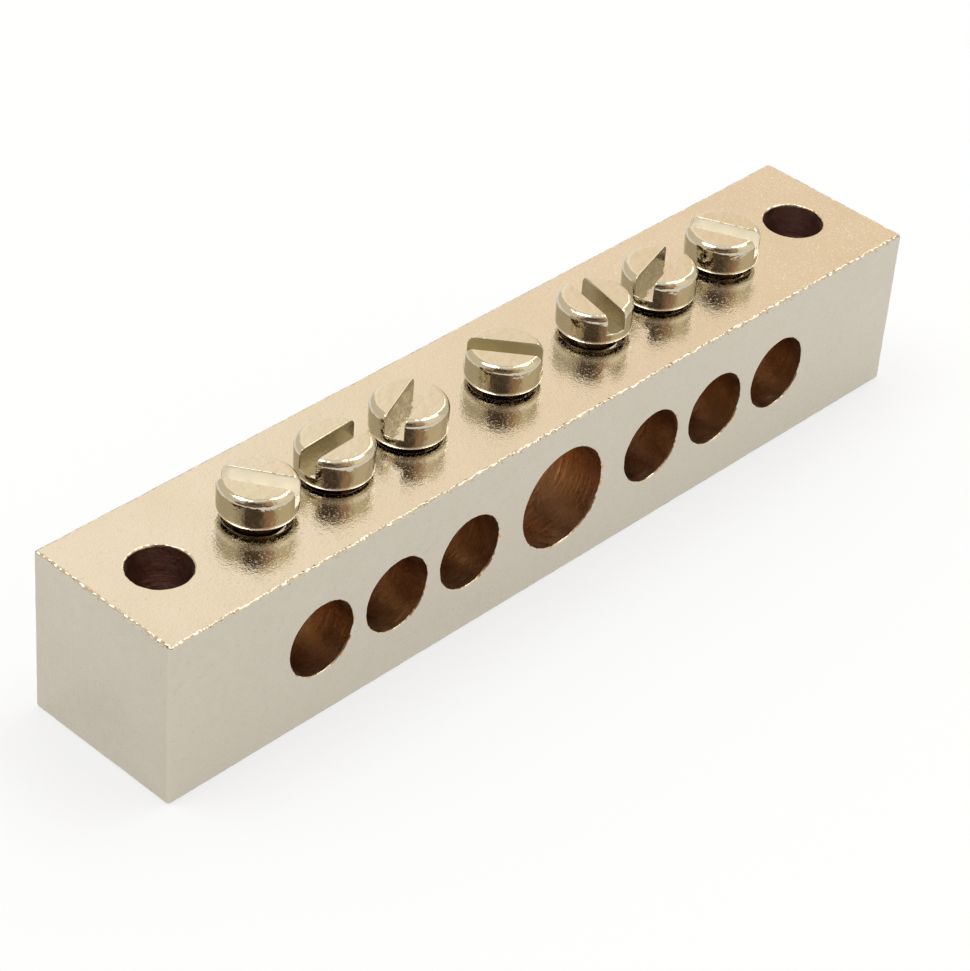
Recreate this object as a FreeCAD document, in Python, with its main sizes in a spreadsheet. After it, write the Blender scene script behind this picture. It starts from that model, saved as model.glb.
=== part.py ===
import FreeCAD, Part
import os
import Sketcher
from FreeCAD import Vector

# Earth terminal bar: one square bar, cross-drilled for wires, with a slotted clamping screw over each way.
# The bar lies along X with its wire entries on the -Y and +Y faces and its screws on top.
# The origin is the middle of the bar's underside. All lengths are in millimetres, all turns in degrees.

DRIVING_SIZES = {
    # The bar's section, and the rounding of all its edges
    "bar_width": 14.0,
    "bar_height": 14.0,
    "bar_edge_round": 0.25,
    # The ways: one large wire hole in the middle, and a row of smaller ones on each side
    "wire_hole_diameter": 6.1,
    "middle_wire_hole_diameter": 8.5,
    # What is left of the bar between the holes and at its ends, which sets its length
    "wall_between_ways": 1.3,
    "wall_beside_middle_way": 2.6,
    "wall_before_fixing_hole": 3.6,
    "wall_at_end": 2.85,
    # The two fixing holes, which run from top to bottom near the ends
    "fixing_hole_diameter": 4.8,
    "hole_rim_chamfer": 0.15,
    # The clamping screws: their threads are drawn as plain cylinders of the outer diameter
    "screw_diameter": 5.0,
    "screw_clearance": 0.05,
    "shank_tip_chamfer": 0.7,
    "head_overhang": 0.45,
    "head_seat_width": 0.15,
    "head_height": 2.6,
    "head_top_chamfer": 0.4,
    "slot_width": 1.5,
    "slot_depth": 1.6,
    # How far the lowest heads stand off the bar, and the gap under a tip when its head is right down
    "head_stand_off": 0.3,
    "tip_gap": 1.45,
}

# The ways on each side of the middle one
SIDE_WAYS = 3

# How far each screw's slot is turned from lying along the bar, from the -X end to the +X end
SLOT_TURNS = [123.0, 3.0, 23.0, 129.0, 77.0, 17.0, 115.0]

# How much further out than the lowest ones each screw is turned, in the same order
TURNED_OUT = [0.25, 0.0, 0.0, 0.1, 0.25, 0.0, 0.15]

# How near an edge's size and place must be to the ones asked for, when edges are picked by their form
PICK_TOLERANCE = 1e-4

ACROSS = Vector(0, 1, 0)
UP = Vector(0, 0, 1)


def named(alias):
    """The expression that reads one driving size."""
    return f"Sizes.{alias}"


def way_level():
    """The height of the wire holes' axes: the middle of the bar."""
    return f"{named('bar_height')} / 2"


def way_pitch():
    """From one side way to the next."""
    return f"({named('wire_hole_diameter')} + {named('wall_between_ways')})"


def side_way_place(step):
    """How far from the middle a side way lies, counted outwards from 0."""
    first = f"({named('middle_wire_hole_diameter')} + {named('wire_hole_diameter')}) / 2"
    return f"({first} + {named('wall_beside_middle_way')} + {step} * {way_pitch()})"


def fixing_hole_place():
    """How far from the middle a fixing hole lies."""
    radii = f"({named('wire_hole_diameter')} + {named('fixing_hole_diameter')}) / 2"
    return f"({side_way_place(SIDE_WAYS - 1)} + {radii} + {named('wall_before_fixing_hole')})"


def bar_length():
    """The length over both ends."""
    return f"2 * ({fixing_hole_place()} + {named('fixing_hole_diameter')} / 2 + {named('wall_at_end')})"


def shank_length():
    """From the foot of a head that is right down to the gap above the floor of a side way."""
    return f"({way_level()} + {named('wire_hole_diameter')} / 2 - {named('tip_gap')})"


def head_diameter():
    """The head stands out all round from the shank."""
    return f"({named('screw_diameter')} + 2 * {named('head_overhang')})"


def make_sheet(document):
    """The spreadsheet that the features' sizes are bound to."""
    sheet = document.addObject("Spreadsheet::Sheet", "Sizes")
    for row, (alias, value) in enumerate(DRIVING_SIZES.items(), start=1):
        sheet.set(f"A{row}", alias)
        sheet.set(f"B{row}", str(value))
        sheet.setAlias(f"B{row}", alias)
    document.recompute()
    return sheet


def origin_part(body, role):
    """One of the body's own origin planes or axes."""
    return next(part for part in body.Origin.OriginFeatures if part.Role == role)


def new_sketch(body, name, plane_role, height="0"):
    """A sketch on one of the body's own origin planes, raised from it by height."""
    sketch = body.newObject("Sketcher::SketchObject", name)
    sketch.AttachmentSupport = [(origin_part(body, plane_role), "")]
    sketch.MapMode = "FlatFace"
    sketch.setExpression("AttachmentOffset.Base.z", height)
    return sketch


def constrain(sketch, expression, *constraint):
    """A dimension of a sketch that follows an expression."""
    index = sketch.addConstraint(Sketcher.Constraint(*constraint, 1.0))
    sketch.setExpression(f"Constraints[{index}]", expression)


def add_circle(sketch, diameter, across="0", up="0"):
    """A circle, with its centre a distance across and up from the sketch's origin."""
    circle = sketch.addGeometry(Part.Circle(Vector(1, 1, 0), UP, 1))
    constrain(sketch, diameter, "Diameter", circle)
    for kind, place, axis in (("DistanceX", across, -2), ("DistanceY", up, -1)):
        if place == "0":
            sketch.addConstraint(Sketcher.Constraint("PointOnObject", circle, 3, axis))
        else:
            constrain(sketch, place, kind, -1, 1, circle, 3)


def add_rectangle(sketch, width, height, base):
    """A rectangle centred on the sketch's upright axis, its lower side a distance base up from the origin."""
    corners = [Vector(-1, 1, 0), Vector(1, 1, 0), Vector(1, 2, 0), Vector(-1, 2, 0)]
    floor, right, roof, left = [
        sketch.addGeometry(Part.LineSegment(start, end))
        for start, end in zip(corners, corners[1:] + corners[:1])
    ]
    for side, following in ((floor, right), (right, roof), (roof, left), (left, floor)):
        sketch.addConstraint(Sketcher.Constraint("Coincident", side, 2, following, 1))
    for kind, side in (("Vertical", right), ("Horizontal", roof), ("Vertical", left)):
        sketch.addConstraint(Sketcher.Constraint(kind, side))
    sketch.addConstraint(Sketcher.Constraint("Symmetric", floor, 1, floor, 2, -2))
    constrain(sketch, width, "DistanceX", floor, 1, floor, 2)
    constrain(sketch, height, "DistanceY", right, 1, right, 2)
    if base == "0":
        sketch.addConstraint(Sketcher.Constraint("PointOnObject", floor, 1, -1))
    else:
        constrain(sketch, base, "DistanceY", -1, 1, floor, 1)


def add_pad(body, sketch, name, length, side="One side", downward=False):
    """A pad on a sketch."""
    pad = body.newObject("PartDesign::Pad", name)
    pad.Profile = sketch
    pad.SideType = side
    pad.Reversed = downward
    pad.setExpression("Length", length)
    return pad


def add_pocket(body, sketch, name, length=None, side="One side", upward=False):
    """A pocket from a sketch, through everything where no length is given."""
    pocket = body.newObject("PartDesign::Pocket", name)
    pocket.Profile = sketch
    pocket.SideType = side
    pocket.Reversed = upward
    if length is None:
        pocket.Type = "ThroughAll"
    else:
        pocket.setExpression("Length", length)
    return pocket


def circular_edges(shape, diameter, axis, levels):
    """The names of the circles of one diameter about an axis direction, at the given levels along it."""
    found = []
    for number, edge in enumerate(shape.Edges, start=1):
        if edge.Degenerated:
            continue
        curve = edge.Curve
        if not isinstance(curve, Part.Circle) or abs(abs(curve.Axis.dot(axis)) - 1) > PICK_TOLERANCE:
            continue
        same_size = abs(2 * curve.Radius - diameter) < PICK_TOLERANCE
        same_level = any(abs(curve.Center.dot(axis) - level) < PICK_TOLERANCE for level in levels)
        if same_size and same_level:
            found.append(f"Edge{number}")
    return found


def dress_edges(body, kind, name, edges, amount):
    """A fillet or chamfer of the body's present tip on the named edges."""
    base = body.Tip
    feature = body.newObject(f"PartDesign::{kind}", name)
    feature.Base = (base, edges)
    feature.setExpression("Radius" if kind == "Fillet" else "Size", amount)
    body.Document.recompute()


def add_way(body, name, wire_hole, place="0"):
    """A wire hole right through the bar, and the screw hole above it, as deep as a shank reaches."""
    screw_bore = f"{named('screw_diameter')} + 2 * {named('screw_clearance')}"
    entry = new_sketch(body, f"{name}Entry", "XZ_Plane")
    add_circle(entry, named(wire_hole), place, way_level())
    wire_pocket = add_pocket(body, entry, f"{name}WireHole", side="Symmetric")
    mouth = new_sketch(body, f"{name}Mouth", "XY_Plane", named("bar_height"))
    add_circle(mouth, screw_bore, place)
    screw_pocket = add_pocket(
        body, mouth, f"{name}ScrewHole", f"{shank_length()} + {named('screw_clearance')}"
    )
    body.Document.recompute()
    return [wire_pocket, screw_pocket]


def make_bar(document, sheet):
    """The bar: a square length with its wire holes, screw holes and fixing holes."""
    body = document.addObject("PartDesign::Body", "EarthBar")
    body.Label = "earth_bar"

    section = new_sketch(body, "Section", "YZ_Plane")
    add_rectangle(section, named("bar_width"), named("bar_height"), "0")
    add_pad(body, section, "Blank", bar_length(), side="Symmetric")
    document.recompute()
    blank_edges = [f"Edge{number}" for number in range(1, len(body.Shape.Edges) + 1)]
    dress_edges(body, "Fillet", "BlankEdges", blank_edges, named("bar_edge_round"))

    # The middle way, then the first side way, repeated outwards and mirrored to the other side
    add_way(body, "Middle", "middle_wire_hole_diameter")
    first_side_way = add_way(body, "Side", "wire_hole_diameter", side_way_place(0))
    side_ways = body.newObject("PartDesign::MultiTransform", "SideWays")
    side_ways.Originals = first_side_way
    outwards = body.newObject("PartDesign::LinearPattern", "Outwards")
    outwards.Direction = (origin_part(body, "X_Axis"), [""])
    outwards.Mode = "Spacing"
    outwards.Occurrences = SIDE_WAYS
    outwards.setExpression("Offset", way_pitch())
    opposite = body.newObject("PartDesign::Mirrored", "Opposite")
    opposite.MirrorPlane = (origin_part(body, "YZ_Plane"), [""])
    side_ways.Transformations = [outwards, opposite]
    body.Tip = side_ways

    # The fixing holes
    fixings = new_sketch(body, "Fixings", "XY_Plane")
    for side in (1, -1):
        add_circle(fixings, named("fixing_hole_diameter"), f"{side} * {fixing_hole_place()}")
    add_pocket(body, fixings, "FixingHoles", upward=True)
    document.recompute()

    # The rims of the wire holes and fixing holes
    faces = (-sheet.bar_width / 2, sheet.bar_width / 2)
    rims = circular_edges(body.Shape, sheet.wire_hole_diameter, ACROSS, faces)
    rims += circular_edges(body.Shape, sheet.middle_wire_hole_diameter, ACROSS, faces)
    rims += circular_edges(body.Shape, sheet.fixing_hole_diameter, UP, (0, sheet.bar_height))
    dress_edges(body, "Chamfer", "HoleRims", rims, named("hole_rim_chamfer"))
    return body


def make_screw(document, sheet, number, station):
    """One clamping screw: a slotted cheese head on a plain shank, with its origin under the head."""
    body = document.addObject("PartDesign::Body", f"TerminalScrew{number}")
    body.Label = f"terminal_screw_{number}"
    turn = SLOT_TURNS[(number - 1) % len(SLOT_TURNS)]
    turned_out = TURNED_OUT[(number - 1) % len(TURNED_OUT)]

    head = new_sketch(body, "HeadCircle", "XY_Plane")
    add_circle(head, head_diameter())
    add_pad(body, head, "Head", named("head_height"))
    shank_circle = new_sketch(body, "ShankCircle", "XY_Plane")
    add_circle(shank_circle, named("screw_diameter"))
    shank = add_pad(body, shank_circle, "Shank", shank_length(), downward=True)
    document.recompute()

    over_head = sheet.screw_diameter + 2 * sheet.head_overhang
    crown = circular_edges(body.Shape, over_head, UP, (sheet.head_height,))
    dress_edges(body, "Chamfer", "HeadTop", crown, named("head_top_chamfer"))
    foot = circular_edges(body.Shape, over_head, UP, (0,))
    dress_edges(body, "Chamfer", "HeadFoot", foot, f"{named('head_overhang')} - {named('head_seat_width')}")
    tip = circular_edges(body.Shape, sheet.screw_diameter, UP, (-shank.Length.Value,))
    dress_edges(body, "Chamfer", "ShankTip", tip, named("shank_tip_chamfer"))

    slot = new_sketch(body, "SlotSection", "YZ_Plane")
    slot_floor = f"{named('head_height')} - {named('slot_depth')}"
    add_rectangle(slot, named("slot_width"), f"2 * {named('slot_depth')}", slot_floor)
    add_pocket(body, slot, "Slot", side="Symmetric")

    body.Placement.Rotation = FreeCAD.Rotation(UP, turn)
    body.setExpression("Placement.Base.x", station)
    seat = f"{named('bar_height')} + {named('head_stand_off')}"
    body.setExpression("Placement.Base.z", f"{seat} + {turned_out}")
    return body


def way_stations():
    """The ways' places along the bar, from the -X end to the +X end."""
    places = [side_way_place(step) for step in range(SIDE_WAYS)]
    return [f"-1 * {place}" for place in reversed(places)] + ["0"] + places


def check(document, bodies):
    """Stop where a feature failed, or where a body isn't one good solid."""
    for item in document.Objects:
        if "Invalid" in item.State or "Error" in item.State:
            raise RuntimeError(f"{item.Name} did not compute: {item.State}")
    for body in bodies:
        shape = body.Shape
        if shape.isNull() or not shape.isValid() or len(shape.Solids) != 1:
            raise RuntimeError(f"{body.Label} is not one valid solid")
        print(f"{body.Label}: {shape.Volume:.2f} cubic mm, {shape.BoundBox}")


def main():
    document = FreeCAD.newDocument("EarthTerminalBar")
    sheet = make_sheet(document)
    bodies = [make_bar(document, sheet)]
    for number, station in enumerate(way_stations(), start=1):
        bodies.append(make_screw(document, sheet, number, station))
    document.recompute()
    check(document, bodies)
    os.makedirs("parts", exist_ok=True)
    for body in bodies:
        body.Shape.exportStep(f"parts/{body.Label}.step")


main()
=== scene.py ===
import math
from collections import namedtuple

import bmesh
import bpy
from mathutils import Matrix, Vector, noise


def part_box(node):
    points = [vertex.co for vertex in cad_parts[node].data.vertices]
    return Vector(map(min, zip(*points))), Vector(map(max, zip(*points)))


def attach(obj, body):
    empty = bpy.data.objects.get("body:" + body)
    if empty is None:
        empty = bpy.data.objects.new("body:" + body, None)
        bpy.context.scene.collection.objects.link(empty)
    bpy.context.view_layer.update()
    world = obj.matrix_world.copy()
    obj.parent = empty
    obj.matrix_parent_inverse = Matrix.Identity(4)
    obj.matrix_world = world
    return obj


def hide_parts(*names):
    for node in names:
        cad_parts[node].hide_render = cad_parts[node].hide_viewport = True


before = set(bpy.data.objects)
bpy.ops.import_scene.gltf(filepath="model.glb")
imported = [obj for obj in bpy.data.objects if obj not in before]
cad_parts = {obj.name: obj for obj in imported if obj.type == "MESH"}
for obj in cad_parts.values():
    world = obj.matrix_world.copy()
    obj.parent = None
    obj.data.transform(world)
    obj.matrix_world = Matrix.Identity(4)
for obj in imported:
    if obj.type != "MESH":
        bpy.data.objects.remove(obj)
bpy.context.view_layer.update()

# Shapes are built in millimetres and become metres when they are whole.
MM = 0.001
TAU = 2 * math.pi

# Camera, fitted to the corners and hole rims in the photograph. Angles in degrees, lengths in millimetres.
IMAGE_HEIGHT = 971
CAMERA_AZIMUTH = -48.889
CAMERA_ELEVATION = 36.975
CAMERA_ROLL = 4.850
CAMERA_FOCAL_PIXELS = 3351.5
CAMERA_DISTANCE = 244.5
CAMERA_AIM = (-6.197, -4.608, 9.887)
SENSOR_HEIGHT = 36.0

# Bar: its corners come from its CAD node, and its holes have the sizes that the solid has.
BAR_LOW, BAR_HIGH = (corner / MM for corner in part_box("earth_bar"))
SIDE_WAYS = 3
WAY_RADIUS = 3.05
MIDDLE_WAY_RADIUS = 4.25
FIXING_FROM_END = 5.25
FIXING_RADIUS = 2.4
SCREW_HOLE_RADIUS = 2.55

# The rounding of the bar's edges, and how it varies: a ripple all along, and stretches that are more worn.
EDGE_ROUND = 0.25
EDGE_SEGMENTS = 3
EDGE_STEP = 0.6         # from one outline along an edge to the next
RIPPLE = 0.22           # how much the rounding varies, as a share of it
RIPPLE_RATE = 0.9       # how fast it varies, for each millimetre
WORN = 0.3              # how much wider a worn stretch is, times the rise of the noise above its level
WORN_RATE = 0.55        # how fast that varies, for each millimetre
WORN_LEVEL = 0.25       # the level of the noise above which the edge is worn
WORN_SEED = 40
CORNER_FADE = 1.5       # how near to a corner both start to fade out

# The mouths of the holes: rounded and slightly ragged rims, cut by drills' shapes that run past the faces.
RIM_ROUND = 0.16
RAGGED = 0.35           # how much the rounding varies, as a share of it
RAGGED_RATE = 3.0       # the radius of the circle in the noise that stands for the rim
RAGGED_FINE = 0.15      # how much the rounding varies finely
RAGGED_FINER = 3.1      # how many times finer that is
MOUTH_TURN = math.radians(75)     # where the rounding gives way to a straight flare
MOUTH_STEPS = 4
MOUTH_PAST = 0.05       # how far past the face the flare ends
DRILL_PAST = 0.6        # how far past the face the drill's shape ends
DRILL_SPREAD = 0.1      # how much wider it gets on that last stretch
WAY_COLUMNS = 80
FIXING_COLUMNS = 72
SCREW_HOLE_COLUMNS = 64

# Seeds of the noise, and how far apart in it the rows of neighbouring seeds lie.
WAY_SEED = 1
FIXING_SEED = 20
SCREW_HOLE_SEED = 30
WAVE_ROWS = (7.31, 3.17)
RAGGED_ROWS = 5.3

# Screws: the place of each comes from its CAD node, and these are the sizes that the solids have.
HEAD_RADIUS = 2.95
HEAD_HEIGHT = 2.6
SLOT_HALF = 0.75
SLOT_DEPTH = 1.6
SLOT_TURNS = (123, 3, 23, 129, 77, 17, 115)
SHANK_RADIUS = 2.5
SHANK_LENGTH = 8.6
TIP_CHAMFER = 0.7
TIP_RADIUS = SHANK_RADIUS - TIP_CHAMFER

# The head's roundings. The crown's outlines are closer together where the slot's edge is rounded too.
CROWN_RADIUS = 0.6
CROWN_TURNS = (11, 22, 33, 44, 54, 60, 68, 76, 83, 90)
FOOT_WIDTH = 0.34
FOOT_HEIGHT = 0.45
FOOT_STEPS = 7
SLOT_EDGE_ROUND = 0.08
SLOT_CORNER_ROUND = 0.06
ARC_STEPS = 34
END_STEPS = 6
CORNER_STEPS = 4

# The neck and the thread. The profile goes down one turn from a crest: (distance down, share of the depth).
NECK_RADIUS = 2.1
NECK_LENGTH = 0.8
THREAD_PITCH = 0.8
THREAD_DEPTH = 0.49
THREAD_PROFILE = ((0.0, 0.0), (0.10, 0.0), (0.39, 0.92), (0.45, 1.0), (0.51, 0.92))
THREAD_RUN_OUT = 0.45   # the length below the neck over which the thread reaches its full height
THREAD_END_GAP = 0.02   # points of the thread nearer than this to the neck or the tip are theirs
SPARE_TURNS = 1.2       # turns past the tip, for the rise of the helix

# The slots that shine in the photograph, by the number of the screw, with a painted highlight on their
# walls, bright or golden. The others are dull: their walls have painted shade.
SLOT_LOOKS = {1: "bright", 4: "golden", 7: "bright"}

# The parts of the bar's surface and of a screw's, each with a material of its own.
TOP, SIDE, END, EDGE, RIM, WAY_WALL, DOWN_WALL = range(7)
# On a screw, the third part is the ring of its foot, whose pale plate is a painted highlight.
PLATE, SLOT, FOOT_PAINTED_HIGHLIGHT = range(3)

# How the parts are told apart.
SQUARE = 0.9999         # a flat face has more than this of its normal along an axis
ON_OUTSIDE = 1e-3       # a flat face lies nearer than this to the outside
RIM_SHARE = 1.2         # a rim reaches this deep, in times its rounding
TURNED_TO_Y = 0.02      # a vertical bore's wall has more than this of its normal along Y
STEEP = 0.5             # a slot's wall has less than this of its normal along Z
SLOT_MARGIN = 0.01      # a slot's faces are looked for this far outside it
HIGHLIGHT_RING_FROM = 0.08        # the ring of a foot whose pale plate paints a highlight starts this high above its seat

# Shading and joining of the meshes.
WELD = 1e-4             # points nearer than this are one
SHARP = math.radians(42)          # edges that turn by more than this shade as sharp
NORMAL_WEIGHT = 90      # how much the large faces rule the shading beside them, from 1 to 100


# Meshes

class Shape:
    """Points and faces, added ring by ring."""

    def __init__(self):
        self.points = []
        self.faces = []

    def add(self, points):
        """Add points, and give their numbers."""
        first = len(self.points)
        self.points.extend(points)
        return list(range(first, len(self.points)))

    def bridge(self, lower, upper):
        """Join two closed rings, with as many points each, by a band of faces."""
        for i in range(len(lower)):
            j = (i + 1) % len(lower)
            self.faces.append((lower[i], lower[j], upper[j], upper[i]))

    def mesh(self, name):
        made = bpy.data.meshes.new(name)
        made.from_pydata([tuple(p) for p in self.points], [], self.faces)
        made.validate()
        return made


def spread(first, last, steps):
    """Evenly spaced values from first to last."""
    return [first + (last - first) * i / steps for i in range(steps + 1)]


def ring_points(radius, z, angles):
    return [(radius * math.cos(a), radius * math.sin(a), z) for a in angles]


def wave(value, seed):
    """Smooth noise along a line, from about -1 to 1."""
    return noise.noise(Vector((value, seed * WAVE_ROWS[0], seed * WAVE_ROWS[1])))


def object_from(name, data):
    made = bpy.data.objects.new(name, data)
    bpy.context.scene.collection.objects.link(made)
    return made


def applied(thing, mesh_name):
    """The object's mesh with its modifiers worked in."""
    bpy.context.view_layer.update()
    graph = bpy.context.evaluated_depsgraph_get()
    source = thing.evaluated_get(graph)
    mesh = bpy.data.meshes.new_from_object(source, preserve_all_data_layers=True, depsgraph=graph)
    mesh.name = mesh_name
    return mesh


def finished(thing):
    """Smooth shading with sharp corners kept, and flat faces that shade flat."""
    mesh = thing.data
    mesh.polygons.foreach_set("use_smooth", [True] * len(mesh.polygons))
    mesh.set_sharp_from_angle(angle=SHARP)
    weighted = thing.modifiers.new("weighted", "WEIGHTED_NORMAL")
    weighted.mode = "FACE_AREA_WITH_ANGLE"
    weighted.weight = NORMAL_WEIGHT
    weighted.keep_sharp = True
    thing.data = applied(thing, mesh.name + "_shaded")
    thing.modifiers.clear()
    return thing


# Bar

def split_edge(edge, parts):
    """Put vertices along one edge at even steps."""
    start = edge.verts[0]
    for left in range(parts, 1, -1):
        new_edge, start = bmesh.utils.edge_split(edge, start, 1 / left)
        edge = next(e for e in start.link_edges if e is not new_edge)


def unevenness(place, seed):
    """How much wider an edge's rounding is at a place along it, as a share."""
    ripple = RIPPLE * wave(place * RIPPLE_RATE, seed)
    worn = WORN * max(0.0, wave(place * WORN_RATE, seed + WORN_SEED) - WORN_LEVEL)
    return ripple + worn


def wear_edges(bm):
    """Make the rounding of the block's edges a little uneven, as tumbling leaves it. Flat faces stay."""
    centre = (BAR_LOW + BAR_HIGH) / 2
    for v in bm.verts:
        inward = [min(v.co[a] - BAR_LOW[a], BAR_HIGH[a] - v.co[a]) for a in range(3)]
        close = [a for a in range(3) if inward[a] < EDGE_ROUND + WELD]
        if len(close) != 2:
            continue
        along = next(a for a in range(3) if a not in close)
        sides = [1 if v.co[a] > centre[a] else -1 for a in close]
        seed = 1 + along * 4 + (sides[0] + 1) + (sides[1] + 1) / 2
        fade = min(1.0, max(0.0, inward[along] - EDGE_ROUND) / CORNER_FADE)
        scale = 1 + fade * unevenness(v.co[along], seed)
        for a, side in zip(close, sides):
            face = BAR_HIGH[a] if side > 0 else BAR_LOW[a]
            v.co[a] = face - side * inward[a] * scale


def rounded_block():
    """The bar's outside, with its edges rounded."""
    bm = bmesh.new()
    size = BAR_HIGH - BAR_LOW
    centre = (BAR_LOW + BAR_HIGH) / 2
    bmesh.ops.create_cube(bm, size=1)
    for v in bm.verts:
        v.co = Vector(c * s for c, s in zip(v.co, size)) + centre
    for edge in list(bm.edges):
        split_edge(edge, max(2, round(edge.calc_length() / EDGE_STEP)))
    bmesh.ops.bevel(
        bm, geom=list(bm.edges), offset=EDGE_ROUND, offset_type="OFFSET",
        segments=EDGE_SEGMENTS, profile=0.5, affect="EDGES",
    )
    wear_edges(bm)
    mesh = bpy.data.meshes.new("block")
    bm.to_mesh(mesh)
    bm.free()
    return mesh


def mouth(depth, radius, flare):
    """Profile of a hole's rounded mouth, from the bore to past the face: (distance from middle, radius)."""
    arc = spread(0.0, MOUTH_TURN, MOUTH_STEPS)
    points = [(depth - flare + flare * math.sin(a), radius + flare * (1 - math.cos(a))) for a in arc]
    reach, wide = points[-1]
    past_wide = wide + (depth + MOUTH_PAST - reach) * math.tan(MOUTH_TURN)
    points.append((depth + MOUTH_PAST, past_wide))
    points.append((depth + DRILL_PAST, past_wide + DRILL_SPREAD))
    return points


def add_drill(shape, centre, axis, radius, low, high, columns, seed, through=True):
    """Add one drill's shape, with a slightly ragged flare where it leaves a face. One that doesn't go
    through has a flare at its high end only, and a flat low end."""
    axis = Vector(axis)
    side = Vector((1, 0, 0))
    other = axis.cross(side)
    half = (high - low) / 2
    middle = centre + axis * ((high + low) / 2)
    rows = []
    for i in range(columns):
        angle = TAU * i / columns
        across, along = math.cos(angle), math.sin(angle)
        place = Vector((across * RAGGED_RATE, along * RAGGED_RATE, seed * RAGGED_ROWS))
        ragged = RAGGED * noise.noise(place) + RAGGED_FINE * noise.noise(place * RAGGED_FINER)
        outer = mouth(half, radius, RIM_ROUND * (1 + ragged))
        inner = [(-d, r) for d, r in reversed(outer)] if through else [(-half, radius)]
        radial = side * across + other * along
        rows.append(shape.add([middle + axis * d + radial * r for d, r in inner + outer]))
    for row, beside in zip(rows, rows[1:] + rows[:1]):
        for k in range(len(row) - 1):
            shape.faces.append((row[k], beside[k], beside[k + 1], row[k + 1]))
    shape.faces.append([row[0] for row in reversed(rows)])
    shape.faces.append([row[-1] for row in rows])


def cut(block, drills, name):
    """Take the drills' shapes out of the block."""
    mesh = drills.mesh(name)
    bm = bmesh.new()
    bm.from_mesh(mesh)
    bmesh.ops.recalc_face_normals(bm, faces=bm.faces)
    bm.to_mesh(mesh)
    bm.free()
    tool = object_from(name, mesh)
    step = block.modifiers.new(name, "BOOLEAN")
    step.operation = "DIFFERENCE"
    step.solver = "EXACT"
    step.object = tool
    block.data = applied(block, name + "_cut")
    block.modifiers.clear()
    bpy.data.objects.remove(tool)


def screw_place(number):
    """(x, y, seat height) of one screw, in millimetres, from its CAD node."""
    low, high = (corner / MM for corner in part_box(f"terminal_screw_{number}"))
    return (low.x + high.x) / 2, (low.y + high.y) / 2, high.z - HEAD_HEIGHT


def cut_holes(block):
    """Drill the wire ways and the fixing holes, then the screw holes down to the middle of the ways."""
    low, high = BAR_LOW, BAR_HIGH
    level = (low.z + high.z) / 2
    ways = [screw_place(number)[0] for number in range(1, 2 * SIDE_WAYS + 2)]
    fixings = (low.x + FIXING_FROM_END, high.x - FIXING_FROM_END)
    across, down = (0, 1, 0), (0, 0, 1)

    drills = Shape()
    for i, x in enumerate(ways):
        radius = MIDDLE_WAY_RADIUS if i == SIDE_WAYS else WAY_RADIUS
        add_drill(drills, Vector((x, 0, level)), across, radius, low.y, high.y, WAY_COLUMNS, WAY_SEED + i)
    for i, x in enumerate(fixings):
        centre = Vector((x, 0, 0))
        add_drill(drills, centre, down, FIXING_RADIUS, low.z, high.z, FIXING_COLUMNS, FIXING_SEED + i)
    cut(block, drills, "cross_holes")

    drills = Shape()
    for i, x in enumerate(ways):
        add_drill(
            drills, Vector((x, 0, 0)), down, SCREW_HOLE_RADIUS, level, high.z,
            SCREW_HOLE_COLUMNS, SCREW_HOLE_SEED + i, through=False,
        )
    cut(block, drills, "screw_holes")


def bar_part(face):
    """Which part of the bar's surface a face belongs to. The base counts as TOP, and the upright edges,
    where no brass shows, count as SIDE."""
    c = face.calc_center_median()
    depth = sorted(min(c[a] - BAR_LOW[a], BAR_HIGH[a] - c[a]) for a in range(3))
    square = [part for part, share in zip((END, SIDE, TOP), face.normal) if abs(share) > SQUARE]
    if square and depth[0] < ON_OUTSIDE:
        return square[0]
    if depth[0] < EDGE_ROUND and depth[1] < EDGE_ROUND * 2:
        upright = BAR_HIGH.z - c.z > EDGE_ROUND and c.z - BAR_LOW.z > EDGE_ROUND
        return SIDE if upright else EDGE
    if depth[0] < RIM_ROUND * RIM_SHARE:
        return RIM
    return DOWN_WALL if abs(face.normal.y) > TURNED_TO_Y else WAY_WALL


def make_bar(materials):
    """The bar, with the materials in the order of the parts of its surface."""
    bar = object_from("plated_square_bar", rounded_block())
    cut_holes(bar)
    bm = bmesh.new()
    bm.from_mesh(bar.data)
    bmesh.ops.remove_doubles(bm, verts=bm.verts, dist=WELD)
    bmesh.ops.dissolve_degenerate(bm, dist=WELD, edges=bm.edges)
    for face in bm.faces:
        face.material_index = bar_part(face)
    bmesh.ops.scale(bm, vec=(MM, MM, MM), verts=bm.verts)
    mesh = bpy.data.meshes.new("bar_mesh")
    bm.to_mesh(mesh)
    bm.free()
    bar.data = mesh
    for material in materials:
        mesh.materials.append(material)
    finished(bar)
    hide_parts("earth_bar")
    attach(bar, "bar")


# Screws: each is built with its origin under the head and its slot along X.

def corner_place(radius, half_gap):
    """How far out the centre of a slot's rounded corner lies, and the angle where the outer arc ends."""
    inset = half_gap + SLOT_CORNER_ROUND
    reach = math.sqrt((radius - SLOT_CORNER_ROUND) ** 2 - inset ** 2)
    return reach, math.atan2(inset, reach)


def half_outline(radius, half_gap, z):
    """One half of the slotted head at one height: its outer arc, then its rounded corners by the slot."""
    reach, start = corner_place(radius, half_gap)
    inset = half_gap + SLOT_CORNER_ROUND
    ring = ring_points(radius, z, spread(start, math.pi - start, ARC_STEPS))
    left = spread(math.pi - start, 1.5 * math.pi, CORNER_STEPS)[1:]
    right = spread(-0.5 * math.pi, start, CORNER_STEPS)[:-1]
    for centre, turns in ((-reach, left), (reach, right)):
        for x, y, height in ring_points(SLOT_CORNER_ROUND, z, turns):
            ring.append((centre + x, inset + y, height))
    return ring


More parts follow.
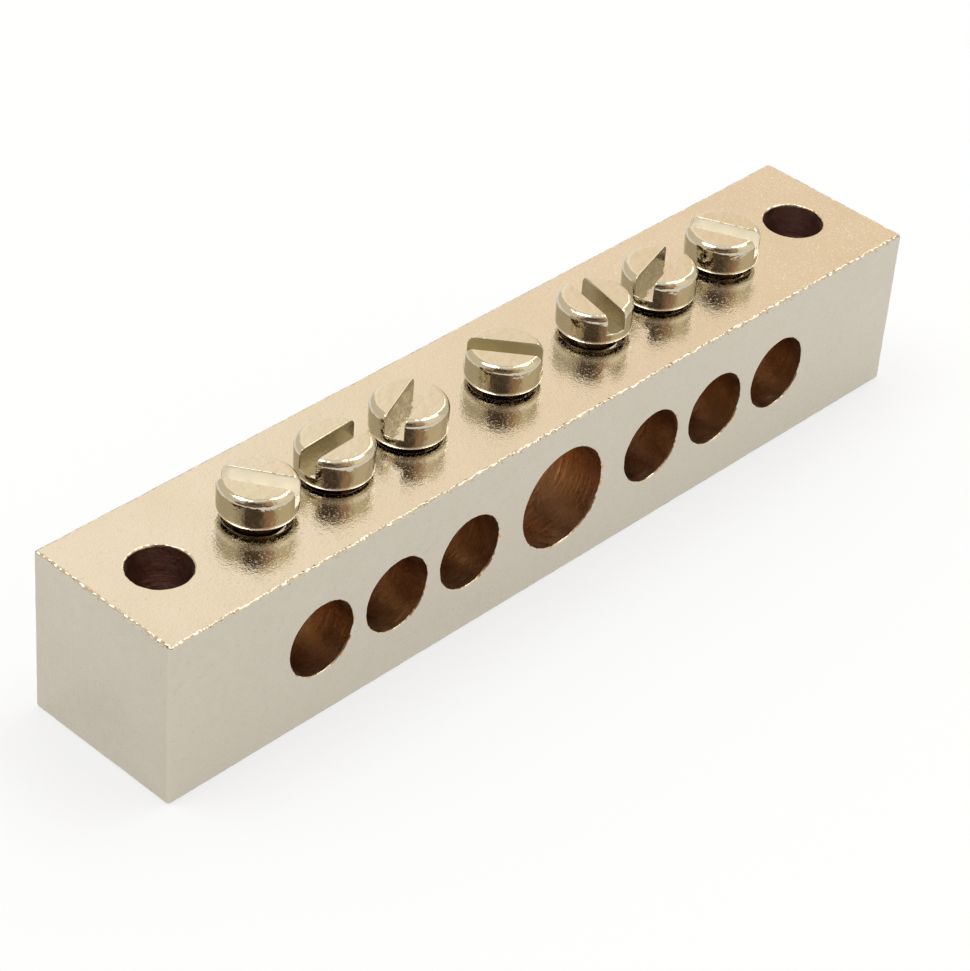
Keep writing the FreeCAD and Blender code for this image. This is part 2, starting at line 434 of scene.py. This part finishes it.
def head_levels():
    """(height, radius, half gap) of each outline from the slot's floor to the top."""
    crown_foot = HEAD_HEIGHT - CROWN_RADIUS
    levels = [(HEAD_HEIGHT - SLOT_DEPTH, HEAD_RADIUS, SLOT_HALF), (crown_foot, HEAD_RADIUS, SLOT_HALF)]
    for degrees in CROWN_TURNS:
        a = math.radians(degrees)
        z = crown_foot + CROWN_RADIUS * math.sin(a)
        radius = HEAD_RADIUS - CROWN_RADIUS + CROWN_RADIUS * math.cos(a)
        into = max(0.0, z - (HEAD_HEIGHT - SLOT_EDGE_ROUND))
        gap = SLOT_HALF + SLOT_EDGE_ROUND - math.sqrt(max(0.0, SLOT_EDGE_ROUND ** 2 - into ** 2))
        levels.append((z, radius, gap))
    return levels


def add_halves(shape):
    """The head's two halves beside the slot. Gives the lowest ring of each."""
    halves = []
    for side in (1, -1):
        rings = []
        for z, radius, gap in head_levels():
            outline = half_outline(radius, gap, z)
            rings.append(shape.add([(x * side, y * side, height) for x, y, height in outline]))
        for lower, upper in zip(rings, rings[1:]):
            shape.bridge(lower, upper)
        shape.faces.append(list(rings[-1]))
        halves.append(rings[0])
    return halves


def add_slot_floor(shape, halves, arc, end, angles):
    """The slot's floor, with its edge rounded at the slot's open ends. Gives the ring below that edge."""
    floor = HEAD_HEIGHT - SLOT_DEPTH
    front, back = halves
    count = len(arc)
    end_left = shape.add(ring_points(HEAD_RADIUS - SLOT_EDGE_ROUND, floor, end))
    end_right = shape.add(ring_points(HEAD_RADIUS - SLOT_EDGE_ROUND, floor, [a + math.pi for a in end]))
    top_ring = front[:count] + end_left + back[:count] + end_right
    floor_ring = front[count:][::-1] + [front[count - 1]] + end_left + [back[0]]
    floor_ring += back[count:][::-1] + [back[count - 1]] + end_right + [front[0]]
    shape.faces.append(floor_ring)

    halfway = SLOT_EDGE_ROUND * (1 - math.sqrt(0.5))
    open_end = ([False] * count + [True] * len(end)) * 2
    middle = []
    for angle, is_open in zip(angles, open_end):
        if is_open:
            middle += ring_points(HEAD_RADIUS - halfway, floor - halfway, [angle])
        else:
            middle += ring_points(HEAD_RADIUS, floor - SLOT_EDGE_ROUND / 2, [angle])
    middle = shape.add(middle)
    shape.bridge(middle, top_ring)
    below = shape.add(ring_points(HEAD_RADIUS, floor - SLOT_EDGE_ROUND, angles))
    shape.bridge(below, middle)
    return below


def add_foot_and_neck(shape, angles, above):
    """The rounded foot of the head, its seat, and the neck under it. Gives the neck's lower ring."""
    for a in spread(0.0, 0.5 * math.pi, FOOT_STEPS):
        radius = HEAD_RADIUS - FOOT_WIDTH * (1 - math.cos(a))
        ring = shape.add(ring_points(radius, FOOT_HEIGHT * (1 - math.sin(a)), angles))
        shape.bridge(ring, above)
        above = ring
    for z in (0, -NECK_LENGTH):
        ring = shape.add(ring_points(NECK_RADIUS, z, angles))
        shape.bridge(ring, above)
        above = ring
    return above


def add_thread(shape, angles, neck):
    """The thread, whose rows follow its helix and stop at the neck and at the flat tip."""
    tip = shape.add(ring_points(TIP_RADIUS, -SHANK_LENGTH, angles))
    per_turn = len(THREAD_PROFILE)
    rows = math.ceil((SHANK_LENGTH - NECK_LENGTH) / THREAD_PITCH + SPARE_TURNS) * per_turn
    grid = {}

    def new_point(j, k):
        drop, depth = THREAD_PROFILE[k % per_turn]
        rise = THREAD_PITCH * (angles[j] - angles[0]) / TAU
        z = -NECK_LENGTH - THREAD_PITCH * (k // per_turn) - drop + rise
        if z > -NECK_LENGTH - THREAD_END_GAP:
            return neck[j]
        if z < -SHANK_LENGTH + THREAD_END_GAP:
            return tip[j]
        on_chamfer = TIP_RADIUS + z + SHANK_LENGTH
        radius = min(SHANK_RADIUS - THREAD_DEPTH * depth, on_chamfer)
        run_out = min(1.0, (-NECK_LENGTH - z) / THREAD_RUN_OUT)
        radius = NECK_RADIUS + (radius - NECK_RADIUS) * run_out
        return shape.add(ring_points(radius, z, [angles[j]]))[0]

    def thread_point(j, k):
        if k < 0:
            return neck[j]
        if (j, k) not in grid:
            grid[j, k] = new_point(j, k)
        return grid[j, k]

    for j in range(len(angles)):
        seam = j == len(angles) - 1
        beside = 0 if seam else j + 1
        back = per_turn if seam else 0
        for k in range(-1, rows + per_turn):
            corners = (
                thread_point(j, k + 1), thread_point(beside, k + 1 - back),
                thread_point(beside, k - back), thread_point(j, k),
            )
            kept = [c for i, c in enumerate(corners) if c != corners[i - 1]]
            if len(set(kept)) == len(kept) >= 3:
                shape.faces.append(kept)
    shape.faces.append(list(reversed(tip)))


def screw_mesh():
    """One screw, in millimetres. Its full rings follow the arcs of both halves and the ends of the slot."""
    start = corner_place(HEAD_RADIUS, SLOT_HALF)[1]
    arc = spread(start, math.pi - start, ARC_STEPS)
    end = spread(math.pi - start, math.pi + start, END_STEPS)[1:-1]
    angles = arc + end + [a + math.pi for a in arc + end]
    shape = Shape()
    halves = add_halves(shape)
    below = add_slot_floor(shape, halves, arc, end, angles)
    neck = add_foot_and_neck(shape, angles, below)
    add_thread(shape, angles, neck)

    mesh = shape.mesh("screw_shape")
    bm = bmesh.new()
    bm.from_mesh(mesh)
    bmesh.ops.remove_doubles(bm, verts=bm.verts, dist=WELD)
    bmesh.ops.recalc_face_normals(bm, faces=bm.faces)
    bm.to_mesh(mesh)
    bm.free()
    return mesh


def screw_part(face, whole_slot):
    """Which part of a screw's surface a face belongs to. A slot's floor keeps the head's plate, unless the
    whole slot has its painted highlight."""
    c = face.center
    if abs(c.y) < SLOT_HALF + SLOT_MARGIN and c.z > HEAD_HEIGHT - SLOT_DEPTH - SLOT_MARGIN:
        return SLOT if whole_slot or abs(face.normal.z) < STEEP else PLATE
    on_highlight_ring = HIGHLIGHT_RING_FROM < c.z < FOOT_HEIGHT and math.hypot(c.x, c.y) > HEAD_RADIUS - FOOT_WIDTH
    return FOOT_PAINTED_HIGHLIGHT if on_highlight_ring else PLATE


def make_screws(plate, foot_highlight_plate, slot_painted_light):
    """The screws, each at its CAD node's place, with its own turn of the slot and its slot's look: a
    painted highlight or painted shade on the slot's walls.
    """
    shape = screw_mesh()
    for number, turn in enumerate(SLOT_TURNS, start=1):
        look = SLOT_LOOKS.get(number, "dull")
        mesh = shape.copy()
        mesh.name = f"screw_mesh_{number}"
        for face in mesh.polygons:
            face.material_index = screw_part(face, look == "bright")
        place = Matrix.Translation(Vector(screw_place(number)) * MM)
        mesh.transform(place @ Matrix.Rotation(math.radians(turn), 4, "Z") @ Matrix.Scale(MM, 4))
        for material in (plate, slot_painted_light[look], foot_highlight_plate):
            mesh.materials.append(material)
        screw = finished(object_from(f"slotted_screw_{number}", mesh))
        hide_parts(f"terminal_screw_{number}")
        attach(screw, f"screw_{number}")


# Materials

class Nodes:
    """Short calls for building a node tree."""

    def __init__(self, tree):
        self.tree = tree
        tree.nodes.clear()

    def add(self, kind, inputs=None, **settings):
        node = self.tree.nodes.new(kind)
        for key, value in settings.items():
            setattr(node, key, value)
        for key, value in (inputs or {}).items():
            self.put(node.inputs[key], value)
        return node

    def put(self, socket, value):
        if isinstance(value, bpy.types.NodeSocket):
            self.tree.links.new(value, socket)
        else:
            socket.default_value = value

    def math(self, operation, a, b=0.0):
        return self.add("ShaderNodeMath", {0: a, 1: b}, operation=operation).outputs[0]

    def mix(self, factor, a, b):
        node = self.add("ShaderNodeMix", data_type="RGBA")
        for key, value in (("Factor", factor), ("A", a), ("B", b)):
            self.put(next(s for s in node.inputs if s.name == key and s.enabled), value)
        return next(s for s in node.outputs if s.enabled)

    def ramp(self, value, low, high, to_low=0.0, to_high=1.0, shape="LINEAR"):
        return self.add(
            "ShaderNodeMapRange",
            {"Value": value, "From Min": low, "From Max": high, "To Min": to_low, "To Max": to_high},
            interpolation_type=shape,
        ).outputs[0]

    def dot(self, a, b):
        return self.add("ShaderNodeVectorMath", {0: a, 1: b}, operation="DOT_PRODUCT").outputs["Value"]

    def noise(self, place, size, detail=2.0, stretch=None):
        """Noise whose grains are about one size across, in millimetres, times the stretch along an axis."""
        if stretch:
            shrink = Vector(1 / s for s in stretch)
            place = self.add("ShaderNodeVectorMath", {0: place, 1: shrink}, operation="MULTIPLY").outputs[0]
        inputs = {"Vector": place, "Scale": 1 / (size * MM), "Detail": detail}
        return self.add("ShaderNodeTexNoise", inputs).outputs["Fac"]


def rgba(colour):
    return (*colour, 1.0)


# A layer of relief: the size of its grains, how steep they are, how they are stretched along X, Y and Z,
# and how many finer grains they carry.
Grain = namedtuple("Grain", "size slope stretch detail", defaults=(None, 2))

# Worn patches: their colour and size, and how readily they show in the middle and at the ends of the bar.
Wear = namedtuple("Wear", "colour size at_middle at_ends")

# Frosted grains: their size, the level of the noise above which they are, and their roughness.
Frost = namedtuple("Frost", "size level roughness")

# What all metals have: tones that change slowly, dark specks, and patches of more and less gloss. Their
# levels are those of the noise, from 0 to 1, between which each comes in.
TONE_SIZE = 6
TONE_LEVELS = (0.3, 0.7)
SPECK_SIZE = 0.45
SPECK_LEVELS = (0.70, 0.76)
SPECK_SHADE = 0.5
GLOSS_SIZE = 0.9
GLOSS_LEVELS = (0.3, 0.7)
GLOSS_SPREAD = 0.2      # how far the roughness varies each way, as a share of it
FROST_RISE = 0.05       # the rise of the noise over which a frosted grain comes in
WEAR_LEVELS = (0.95, 1.02)        # of the noise with its share added

# How far from the bar's ends their heavier wear starts, and is full.
WEAR_FROM_END = (1.5, 0.4)


def worn_share(n, place, wear):
    """1 on worn patches and 0 beside them. The patches are larger near the ends of the bar."""
    start, full = ((BAR_HIGH.x - reach) * MM for reach in WEAR_FROM_END)
    along = n.math("ABSOLUTE", n.add("ShaderNodeSeparateXYZ", {"Vector": place}).outputs["X"])
    share = n.ramp(along, start, full, wear.at_middle, wear.at_ends)
    return n.ramp(n.math("ADD", n.noise(place, wear.size), share), *WEAR_LEVELS)


def relief(n, place, grains):
    """Normals with one layer of grains on another."""
    normal = None
    for grain in grains:
        height = n.noise(place, grain.size, grain.detail, grain.stretch)
        inputs = {"Strength": 1.0, "Distance": 2 * grain.slope * grain.size * MM, "Height": height}
        if normal:
            inputs["Normal"] = normal
        normal = n.add("ShaderNodeBump", inputs).outputs[0]
    return normal


def metal(name, colour, second, roughness, grains, specks=0.35, wear=None, frost=None):
    """Plated or bare metal: two tones, wear, specks, uneven gloss with frosted grains in it, and relief."""
    material = bpy.data.materials.new(name)
    material.use_nodes = True
    n = Nodes(material.node_tree)
    place = n.add("ShaderNodeTexCoord").outputs["Object"]
    base = n.mix(n.ramp(n.noise(place, TONE_SIZE), *TONE_LEVELS), rgba(colour), rgba(second))
    if wear:
        base = n.mix(worn_share(n, place, wear), base, rgba(wear.colour))
    speck = n.ramp(n.noise(place, SPECK_SIZE, detail=1.0), *SPECK_LEVELS)
    dark = rgba(tuple(SPECK_SHADE * c for c in colour))
    base = n.mix(n.math("MULTIPLY", speck, specks), base, dark)
    shiny, dull = roughness * (1 - GLOSS_SPREAD), roughness * (1 + GLOSS_SPREAD)
    gloss = n.ramp(n.noise(place, GLOSS_SIZE), *GLOSS_LEVELS, shiny, dull)
    if frost:
        grain = n.noise(place, frost.size, detail=1.0)
        gloss = n.ramp(grain, frost.level, frost.level + FROST_RISE, gloss, frost.roughness)
    shader = n.add("ShaderNodeBsdfPrincipled", {
        "Base Color": base, "Metallic": 1.0, "Roughness": gloss, "Normal": relief(n, place, grains),
    })
    n.add("ShaderNodeOutputMaterial", {"Surface": shader.outputs[0]})
    return material


NICKEL = (0.614, 0.562, 0.462)
NICKEL_PALE = (0.640, 0.592, 0.495)
# The sides' and ends' plates are the top's plate with painted shade: a little darker on the sides, darker
# on the ends.
NICKEL_SIDE_SHADED = (0.604, 0.556, 0.457)
NICKEL_END_SHADED = (0.570, 0.522, 0.430)
NICKEL_SCREW = (0.590, 0.545, 0.420)
# A dark plate that paints shade into the dull slots.
NICKEL_PAINTED_SHADE = (0.380, 0.320, 0.205)
# A near-white plate that paints a highlight, on the feet's rings and in the bright slots.
NICKEL_PAINTED_HIGHLIGHT = (0.980, 0.965, 0.900)
# A warm pale plate that paints a golden highlight into one slot.
NICKEL_PAINTED_GOLDEN = (0.780, 0.700, 0.460)
BRASSY = (0.66, 0.42, 0.20)
DRILLED = (0.75, 0.51, 0.29)
DRILLED_DARK = (0.42, 0.27, 0.21)
DRILLED_RED = (0.57, 0.42, 0.41)

# Stretches: long grains down the ends, and drill marks that run round a bore along Y or along Z.
ALONG_Z = (1, 1, 8)
ROUND_Y = (4, 0.4, 4)
ROUND_Z = (4, 4, 0.4)


def bar_materials():
    """The bar's materials, in the order of the parts of its surface."""
    fine = Grain(0.22, 0.05)
    coarse = Grain(0.3, 0.05)
    return (
        metal("nickel_top", NICKEL, NICKEL_PALE, 0.11, [Grain(0.6, 0.012), Grain(0.16, 0.05)],
              specks=0.2, frost=Frost(0.17, 0.60, 0.38)),
        # The sides and ends get darker copies of the top's plate: painted shade.
        metal("nickel_side", NICKEL_SIDE_SHADED, NICKEL, 0.26, [Grain(0.6, 0.02), fine], specks=0.1),
        metal("nickel_end", NICKEL_END_SHADED, NICKEL_SIDE_SHADED, 0.28, [Grain(0.5, 0.05, ALONG_Z), fine], specks=0.1),
        metal("nickel_worn_edge", NICKEL_PALE, NICKEL, 0.26, [Grain(0.5, 0.26, detail=0)],
              specks=0.1, wear=Wear(BRASSY, 0.4, at_middle=0.14, at_ends=0.36)),
        metal("nickel_rim", NICKEL, NICKEL_PALE, 0.26, [Grain(0.4, 0.10, detail=0)],
              specks=0.2, wear=Wear(BRASSY, 0.5, at_middle=0.40, at_ends=0.40)),
        metal("drilled_way", DRILLED, DRILLED_DARK, 0.36, [Grain(1.0, 0.022, ROUND_Y), coarse]),
        metal("drilled_down", DRILLED_RED, DRILLED_DARK, 0.38, [Grain(1.0, 0.025, ROUND_Z), coarse]),
    )


def screw_materials():
    """The plate of heads and shanks, the pale plate of the foot's ring, which paints a highlight there, and
    the plate of each look of slot, which paints a highlight or shade into it.
    """
    hammered = [Grain(0.7, 0.04), Grain(0.16, 0.02)]
    faint = [Grain(0.6, 0.02)]
    plate = metal("nickel_screw", NICKEL_SCREW, NICKEL, 0.08, hammered, specks=0.2)
    # The near-white plate on the foot's ring is a painted highlight.
    foot_highlight_plate = metal("nickel_painted_highlight_foot", NICKEL_PAINTED_HIGHLIGHT, NICKEL_PAINTED_HIGHLIGHT, 0.12, [Grain(0.6, 0.03)], specks=0.1)
    # Each look of slot paints light into it: shade in the dull ones, a golden highlight in one, a bright
    # highlight in the others.
    slot_painted_light = {
        "dull": metal("nickel_painted_shade_slot", NICKEL_PAINTED_SHADE, NICKEL_SCREW, 0.30, [Grain(0.5, 0.02)], specks=0.2),
        "golden": metal("nickel_painted_golden_slot", NICKEL_PAINTED_GOLDEN, NICKEL_SCREW, 0.50, faint, specks=0.1),
        "bright": metal("nickel_painted_highlight_slot", NICKEL_PAINTED_HIGHLIGHT, NICKEL_PAINTED_HIGHLIGHT, 0.58, faint, specks=0.1),
    }
    return plate, foot_highlight_plate, slot_painted_light


# Stage and light: metres, degrees and watts. Azimuths are counted from the camera's.

FLOOR_REACH = 3.0
FLOOR_DROP = 0.00002    # keeps the floor out of the plane of the bar's base
FLOOR_COLOUR = (0.83, 0.89, 0.99)
FLOOR_WHITE = 0.68      # the share of plain white that the camera and reflections see on it

# The studio's surroundings: pale walls and a window on the far side, a dark opening round the camera, and
# dim warm patches below it and to its right.
SKY = (0.85, 0.76, 0.62)
OVERHEAD = (1.05, 1.05, 1.00)
FAR_LEFT = (1.34, 1.24, 1.09)
FAR_RIGHT = (1.16, 0.94, 0.72)
FAR_BLEND = (-0.13, 0.12)         # where the far side's left colour gives way to its right one
RIGHT_WALL = (1.12, 1.00, 0.78)
WINDOW = (2.8, 2.6, 2.3)
WARM_RIGHT = (0.62, 0.40, 0.26)
WARM_LOW = (0.20, 0.10, 0.04)
OPENING = (0.10, 0.07, 0.05)

# A patch of the surroundings: its colour, the azimuth of its middle, how far it reaches to each side, the
# elevations of its lower and upper rim, and how wide its rims are.
Patch = namedtuple("Patch", "colour azimuth half_width low high soft")


def make_stage():
    """A floor that takes the object's shadow and looks nearly white to the camera and in reflections."""
    r = FLOOR_REACH
    shape = Shape()
    shape.faces.append(shape.add([(-r, -r, 0), (r, -r, 0), (r, r, 0), (-r, r, 0)]))
    mesh = shape.mesh("floor_mesh")
    floor = object_from("floor", mesh)
    material = bpy.data.materials.new("floor_paper")
    material.use_nodes = True
    n = Nodes(material.node_tree)
    paper = n.add("ShaderNodeBsdfDiffuse", {"Color": rgba(FLOOR_COLOUR)})
    white = n.add("ShaderNodeEmission", {"Color": (1, 1, 1, 1), "Strength": 1.0})
    rays = n.add("ShaderNodeLightPath").outputs
    reflected = n.math("MAXIMUM", rays["Is Glossy Ray"], rays["Is Transmission Ray"])
    seen = n.math("MAXIMUM", rays["Is Camera Ray"], reflected)
    white_share = n.math("MULTIPLY", seen, FLOOR_WHITE)
    shader = n.add("ShaderNodeMixShader", {0: white_share, 1: paper.outputs[0], 2: white.outputs[0]})
    n.add("ShaderNodeOutputMaterial", {"Surface": shader.outputs[0]})
    mesh.materials.append(material)
    floor.location.z = -FLOOR_DROP


def towards(azimuth, elevation):
    """Unit vector to a place around the object. Azimuth 0 is the -Y side, and 90 is the +X side."""
    a, e = math.radians(azimuth), math.radians(elevation)
    return Vector((math.sin(a) * math.cos(e), -math.cos(a) * math.cos(e), math.sin(e)))


def softbox(name, azimuth, elevation, distance, size, power):
    """A round lamp that faces the object."""
    data = bpy.data.lights.new(name, "AREA")
    data.shape = "DISK"
    data.size = size
    data.energy = power
    lamp = object_from(name, data)
    direction = towards(CAMERA_AZIMUTH + azimuth, elevation)
    lamp.location = direction * distance
    lamp.rotation_euler = direction.to_track_quat("Z", "Y").to_euler()


def patch_share(n, direction, patch):
    """1 inside a patch of the surroundings, falling to 0 across its soft rim."""
    ahead = n.dot(direction, towards(CAMERA_AZIMUTH + patch.azimuth, 0))
    aside = n.dot(direction, towards(CAMERA_AZIMUTH + patch.azimuth + 90, 0))
    turn = n.math("ABSOLUTE", n.math("ARCTAN2", aside, ahead))
    rise = n.math("ARCSINE", n.dot(direction, Vector((0, 0, 1))))

    def step(value, at, below, above):
        start, end = math.radians(at - patch.soft / 2), math.radians(at + patch.soft / 2)
        return n.ramp(value, start, end, below, above, shape="SMOOTHSTEP")

    across = step(turn, patch.half_width, 1.0, 0.0)
    upward = n.math("MULTIPLY", step(rise, patch.low, 0.0, 1.0), step(rise, patch.high, 1.0, 0.0))
    return n.math("MULTIPLY", across, upward)


def make_light():
    """The surroundings, painted patch over patch on the sky, and two softboxes."""
    world = bpy.data.worlds.new("studio")
    bpy.context.scene.world = world
    world.use_nodes = True
    n = Nodes(world.node_tree)
    direction = n.add("ShaderNodeTexCoord").outputs["Generated"]
    rightward = n.ramp(n.dot(direction, towards(CAMERA_AZIMUTH + 90, 0)), *FAR_BLEND)
    far_side = n.mix(rightward, rgba(FAR_LEFT), rgba(FAR_RIGHT))
    colour = rgba(SKY)
    for patch in (
        Patch(rgba(OVERHEAD), azimuth=0, half_width=181, low=76, high=100, soft=14),
        Patch(rgba(RIGHT_WALL), azimuth=84, half_width=26, low=6, high=62, soft=20),
        Patch(far_side, azimuth=180, half_width=25, low=4, high=66, soft=16),
        Patch(rgba(WINDOW), azimuth=155, half_width=8, low=24, high=54, soft=6),
        Patch(rgba(WARM_LOW), azimuth=-2, half_width=46, low=3, high=21, soft=10),
        Patch(rgba(WARM_RIGHT), azimuth=38, half_width=16, low=18, high=64, soft=14),
        Patch(rgba(OPENING), azimuth=-6, half_width=32, low=18, high=61, soft=30),
    ):
        colour = n.mix(patch_share(n, direction, patch), colour, patch.colour)
    background = n.add("ShaderNodeBackground", {"Color": colour, "Strength": 1.0})
    n.add("ShaderNodeOutputWorld", {"Surface": background.outputs[0]})
    softbox("softbox_left", azimuth=-75, elevation=66, distance=2.0, size=1.10, power=10.0)
    softbox("softbox_right", azimuth=125, elevation=63, distance=2.0, size=0.88, power=6.8)


def make_camera():
    """The camera, turned about its own axis by the roll."""
    azimuth, roll = math.radians(CAMERA_AZIMUTH), math.radians(CAMERA_ROLL)
    right = Vector((math.cos(azimuth), math.sin(azimuth), 0))
    back = towards(CAMERA_AZIMUTH, CAMERA_ELEVATION)
    up = back.cross(right)
    rolled_right = right * math.cos(roll) + up * math.sin(roll)
    rolled_up = up * math.cos(roll) - right * math.sin(roll)
    place = (Vector(CAMERA_AIM) + back * CAMERA_DISTANCE) * MM
    data = bpy.data.cameras.new("camera")
    data.sensor_fit = "VERTICAL"
    data.sensor_height = SENSOR_HEIGHT
    data.lens = CAMERA_FOCAL_PIXELS * SENSOR_HEIGHT / IMAGE_HEIGHT
    data.clip_start = 0.01
    data.dof.use_dof = False
    camera = object_from("camera", data)
    axes = Matrix((rolled_right, rolled_up, back)).transposed()
    camera.matrix_world = Matrix.Translation(place) @ axes.to_4x4()
    bpy.context.scene.camera = camera


make_camera()
make_stage()
make_light()
make_bar(bar_materials())
make_screws(*screw_materials())

bpy.context.scene.view_settings.view_transform = "Standard"
